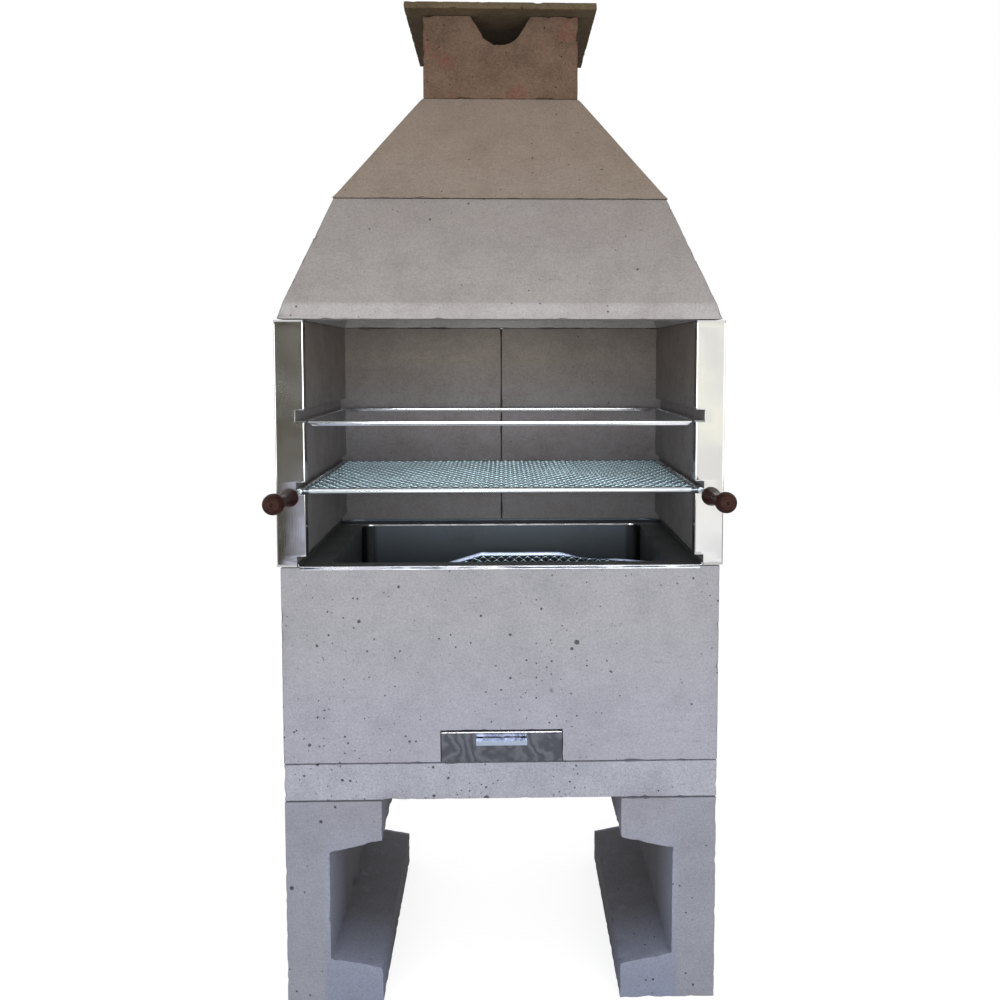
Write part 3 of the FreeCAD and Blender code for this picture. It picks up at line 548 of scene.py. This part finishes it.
def ridge(x, share):
    """Height of the grate's underside; share is 1 at its rear edge and FRONT_SHARE at its front."""
    if x < CROWN_LEFT:
        height = crown * (x - grate_low[0]) / (CROWN_LEFT - grate_low[0])
    elif x < CROWN_RIGHT:
        height = crown
    else:
        height = crown - RIGHT_DROP * (x - CROWN_RIGHT) / (grate_high[0] - CROWN_RIGHT)
    return floor_z + max(0.0005, height * share)


def vault(x, y):
    """Height of the grate's mid surface."""
    share = FRONT_SHARE + (1 - FRONT_SHARE) * (y - grate_low[1]) / (grate_high[1] - grate_low[1])
    return ridge(x, share) + 0.0012


lay_mesh("expanded_grate", "grate_mesh",
         expanded_metal(*middle_lines("grate_mesh"), vault))


def rounded(path, radius, steps=5):
    """The path's corners eased by curves that start and end at radius from each 90 degree corner."""
    points = [Vector(path[0])]
    for before, corner, after in zip(path, path[1:], path[2:]):
        corner = Vector(corner)
        back = Vector(before) - corner
        on = Vector(after) - corner
        half = back.angle(on) / 2
        reach = radius / math.tan(half) if half < 1.5 else 0.0
        if reach < 1e-6:
            points.append(corner)
            continue
        start, stop = corner + back.normalized() * reach, corner + on.normalized() * reach
        for i in range(steps + 1):
            t = i / steps
            points.append(start * (1 - t) ** 2 + corner * 2 * t * (1 - t) + stop * t ** 2)
    points.append(Vector(path[-1]))
    return points


def folded(name, node, points, rows, place, out, thick=0.0012, drop=None):
    """A folded sheet: place(point, row) gives each vertex; out points away from its outer side."""
    verts = [Vector(place(p, row)) for row in rows for p in points]
    width = len(points)
    faces = []
    for j in range(len(rows) - 1):
        for i in range(width - 1):
            face = (j * width + i, j * width + i + 1, (j + 1) * width + i + 1, (j + 1) * width + i)
            middle = sum((verts[k] for k in face), Vector()) / 4
            if drop is None or not drop(middle):
                faces.append(face)
    first = [verts[k] for k in faces[0]]
    normal = (first[1] - first[0]).cross(first[3] - first[0])
    if normal.dot(Vector(out)) < 0:
        faces = [tuple(reversed(face)) for face in faces]
    mesh = bpy.data.meshes.new(name)
    mesh.from_pydata([tuple(v) for v in verts], [], faces)
    mesh.update()
    mesh.shade_smooth()
    piece = bpy.data.objects.new(name, mesh)
    bpy.context.scene.collection.objects.link(piece)
    solid = piece.modifiers.new("sheet", "SOLIDIFY")
    solid.thickness = thick
    solid.offset = -1
    piece.modifiers.new("flat", "WEIGHTED_NORMAL")
    dress(piece, node)


def spread(a, b, step, extra=()):
    """Even stations from a to b, at most step apart, with the extra ones put in."""
    count = max(1, math.ceil((b - a) / step))
    return sorted({round(a + (b - a) * i / count, 6) for i in range(count + 1)} | set(extra))


# edge strips, with their notches in front of the three pairs of grooves
SHELF_SLOTS = ((0.7421, 0.7605), (0.8616, 0.8820), (0.9786, 0.9990))
SLOT_EDGE = 0.3324
for side, node in ((-1, "edge_strip_left"), (1, "edge_strip_right")):
    s_low, s_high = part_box(node)
    inner, outer = min(abs(s_low[0]), abs(s_high[0])), max(abs(s_low[0]), abs(s_high[0]))
    path = [(side * outer, s_high[1]), (side * outer, s_low[1]), (side * SLOT_EDGE, s_low[1]),
            (side * inner, s_low[1]), (side * inner, s_high[1])]
    levels = [z for slot in SHELF_SLOTS for z in slot if s_low[2] < z < s_high[2]]
    folded(node + "_sheet", node, rounded(path, 0.0019), spread(s_low[2], s_high[2], 0.012, levels),
           lambda p, z: (p[0], p[1], z), (side, 0, 0),
           drop=lambda c: abs(c.x) < SLOT_EDGE and any(a < c.z < b for a, b in SHELF_SLOTS))

# skewer frame's front and back rails: a hanging lip, mitred at its ends, and a flange
LIP_HALF = 0.3109
for node, facing in (("skewer_rail_front", -1), ("skewer_rail_back", 1)):
    r_low, r_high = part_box(node)
    lip_y, back_y = (r_low[1], r_high[1]) if facing < 0 else (r_high[1], r_low[1])
    path = [(back_y, r_high[2]), (lip_y, r_high[2]), (lip_y, r_low[2])]

    def reach(p, top=r_high[2], edge=lip_y, wide=r_high[0]):
        if p[1] < top - 0.0013:
            return LIP_HALF - (top - p[1])
        return LIP_HALF + (wide - LIP_HALF) * min(1.0, abs(p[0] - edge) / 0.006)

    folded(node + "_sheet", node, rounded(path, 0.0012), spread(-1, 1, 0.05),
           lambda p, t: (t * reach(p), p[0], p[1]), (0, 0, 1), thick=0.0011)

# ash drawer's front plate, its top edge folded back
d_low, d_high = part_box("drawer_front")
path = [(d_high[1], d_high[2]), (d_low[1], d_high[2]), (d_low[1], d_low[2])]
folded("drawer_front_sheet", "drawer_front", rounded(path, 0.0021), spread(d_low[0], d_high[0], 0.01),
       lambda p, x: (x, p[0], p[1]), (0, 0, 1))

# the grate's edge strips lean back a little and are cut by hand
LEAN = 0.0019


def strip_height(x):
    """Height of a band at x: its right part was cut down."""
    steps = [(-1.0, BAND_HEIGHT), (0.110, 0.0076), (0.146, 0.0014), (0.190, 0.0016),
             (0.212, 0.0048), (1.0, 0.0044)]
    for (x0, h0), (x1, h1) in zip(steps, steps[1:]):
        if x <= x1:
            return h0 + (h1 - h0) * (x - x0) / (x1 - x0)


for node, share in (("grate_strip_front", FRONT_SHARE), ("grate_strip_rear", 1.0)):
    b_low, b_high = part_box(node)
    folded(node + "_band", node, [Vector((0, 0)), Vector((0.3, 0.3)), Vector((0.7, 0.7)), Vector((1, 1))],
           spread(b_low[0], b_high[0], 0.006, (CROWN_LEFT, CROWN_RIGHT)),
           lambda p, x, y=b_low[1], share=share: (
               x, y + LEAN * p[0] + 0.0002 * noise.noise(Vector((x * 60, p[0], share))),
               ridge(x, share) + p[1] * (strip_height(x) + 0.0005 * noise.noise(Vector((x * 45, 3, share))))),
           (0, -1, 0))


# turned handles: (distance from the end nearer the grill, radius), in metres
HANDLE_TILT = math.radians(3)
HANDLE_END = 0.0097      # radius at the end nearer the grill
HANDLE_WIDEST_AT, HANDLE_WIDEST = 0.111, 0.0157
HANDLE_PROFILE = [(0.0, 0.0), (0.0, 0.0058), (0.0, 0.0092), (0.0007, 0.0101), (0.0022, 0.0118), (0.005, 0.0135),
                  (0.009, 0.01445), (0.013, 0.0147), (0.018, 0.0143), (0.024, 0.0134), (0.032, 0.0124),
                  (0.042, 0.0113), (0.052, 0.01055), (0.062, 0.0104), (0.072, 0.0108), (0.082, 0.0118),
                  (0.092, 0.0131), (0.100, 0.0144), (0.106, 0.0153), (0.111, 0.0157), (0.116, 0.0153),
                  (0.1205, 0.0139), (0.1238, 0.0121), (0.1253, 0.0108), (0.126, 0.0098), (0.1260, 0.0078),
                  (0.1258, 0.0073), (0.1254, 0.0070), (0.1258, 0.0067), (0.1260, 0.0062), (0.1260, 0.0022),
                  (0.1258, 0.0020), (0.1243, 0.0019), (0.1241, 0.0)]
TURN = 48                # sides of the turned wood


def turned_handle(node, name):
    low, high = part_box(node)
    axis = Vector((0, -math.cos(HANDLE_TILT), math.sin(HANDLE_TILT)))
    up = Vector((0, math.sin(HANDLE_TILT), math.cos(HANDLE_TILT)))
    side = Vector((1, 0, 0))
    centre = (Vector(low) + Vector(high)) / 2
    far = Vector((centre.x, high[1] - HANDLE_END * math.sin(HANDLE_TILT), 0))
    far.z = high[2] - HANDLE_WIDEST - HANDLE_WIDEST_AT * math.sin(HANDLE_TILT)
    verts, faces = [], []
    for t, radius in HANDLE_PROFILE:
        for k in range(TURN):
            angle = 2 * math.pi * k / TURN
            out = side * math.cos(angle) + up * math.sin(angle)
            verts.append(far + axis * t + out * max(radius, 0.00002))
    for i in range(len(HANDLE_PROFILE) - 1):
        for k in range(TURN):
            nxt = (k + 1) % TURN
            faces.append((i * TURN + k, i * TURN + nxt, (i + 1) * TURN + nxt, (i + 1) * TURN + k))
    new_piece(name, verts, faces, node)


turned_handle("wooden_handle_left", "turned_handle_left")
turned_handle("wooden_handle_right", "turned_handle_right")


# ---------------------------------------------------------------- stage, light, camera
def stage_plane(name, size, place, turn, material, camera=True):
    mesh = bpy.data.meshes.new(name)
    w, h = size[0] / 2, size[1] / 2
    mesh.from_pydata([(-w, -h, 0), (w, -h, 0), (w, h, 0), (-w, h, 0)], [], [(0, 1, 2, 3)])
    piece = bpy.data.objects.new(name, mesh)
    piece.location = place
    piece.rotation_euler = turn
    mesh.materials.append(material)
    bpy.context.scene.collection.objects.link(piece)
    piece.visible_camera = camera
    return piece


floor_look = Graph("floor_pale")
floor_look.surface((0.50, 0.50, 0.50), 0.9, Emission_Color=(1, 1, 1, 1))
to_camera = floor_look.add("LightPath")
floor_look.plug(floor_look.shader.inputs["Emission Strength"],
                floor_look.math("MULTIPLY_ADD", to_camera, 0.72, 0.06))
stage_plane("floor", (30, 30), (0, 0, 0), (0, 0, 0), floor_look.material)

world = bpy.data.worlds.new("studio")
bpy.context.scene.world = world
world.use_nodes = True
world_nodes, world_links = world.node_tree.nodes, world.node_tree.links
backdrop = world_nodes["Background"]
backdrop.inputs["Color"].default_value = (1, 1, 1, 1)
paths = world_nodes.new("ShaderNodeLightPath")
seen = world_nodes.new("ShaderNodeMath")
seen.operation = "MULTIPLY_ADD"
world_links.new(paths.outputs["Is Camera Ray"], seen.inputs[0])
seen.inputs[1].default_value = 0.55
seen.inputs[2].default_value = 0.45
shine = world_nodes.new("ShaderNodeMath")
shine.operation = "MULTIPLY_ADD"
world_links.new(paths.outputs["Is Glossy Ray"], shine.inputs[0])
shine.inputs[1].default_value = 0.35
world_links.new(seen.outputs[0], shine.inputs[2])
world_links.new(shine.outputs[0], backdrop.inputs["Strength"])


def area_light(name, place, target, size, power):
    lamp = bpy.data.lights.new(name, "AREA")
    lamp.shape = "RECTANGLE"
    lamp.size, lamp.size_y = size
    lamp.energy = power
    piece = bpy.data.objects.new(name, lamp)
    piece.location = place
    piece.rotation_euler = (Vector(target) - Vector(place)).to_track_quat("-Z", "Y").to_euler()
    piece.visible_camera = False
    bpy.context.scene.collection.objects.link(piece)


def card(name, size, place, base, shade, patch, patch_x, patch_y):
    """An upright card that only polished steel reflects: base colour with clouds, and a lower patch."""
    g = Graph(name)
    across = g.span(g.math("ADD", g.axis("X"), g.math("MULTIPLY", g.noise(5.0), 0.12)), *patch_x)
    along = g.span(g.math("ADD", g.axis("Y"), g.math("MULTIPLY", g.noise(4.0), 0.3)), *patch_y)
    clouds = g.span(g.noise(4.5, 2.0, 0.5), 0.46, 0.56)
    colour = g.mix(g.math("MULTIPLY", across, along), base, patch)
    colour = g.mix(g.math("MULTIPLY", clouds, 0.6), colour, shade)
    g.surface((0.0, 0.0, 0.0), 1.0, Emission_Strength=1.0)
    g.plug(g.shader.inputs["Emission Color"], colour)
    piece = stage_plane(name, size, place, (math.pi / 2, 0, 0), g.material, camera=False)
    piece.visible_diffuse = False
    piece.visible_shadow = False


area_light("key", (0.10, -2.35, 1.0), (0, 0, 0.95), (4.0, 0.9), 53)
# x and y below are across and up the card, from its middle
card("card_left", (0.56, 1.5), (-0.77, -2.15, 0.78), (0.055, 0.048, 0.032), (0.115, 0.105, 0.085),
     (0.46, 0.47, 0.60), (0.02, 0.10), (0.15, -0.15))
card("card_right", (0.56, 1.5), (0.77, -2.15, 0.78), (0.95, 0.93, 0.84), (0.70, 0.70, 0.72),
     (0.98, 0.98, 1.0), (-0.2, 0.0), (0.1, -0.3))

camera_data = bpy.data.cameras.new("camera")
camera_data.sensor_width = 36
camera_data.lens = 34.32
camera_data.shift_x = -0.0285
camera_data.shift_y = -0.0794
camera = bpy.data.objects.new("camera", camera_data)
camera.location = (0.0018, FRONT_Y - 1.5437, 1.0828)
camera.rotation_euler = (math.pi / 2 - 0.0655, 0, -0.0276)
bpy.context.scene.collection.objects.link(camera)
bpy.context.scene.camera = camera
bpy.context.scene.view_settings.view_transform = "Standard"
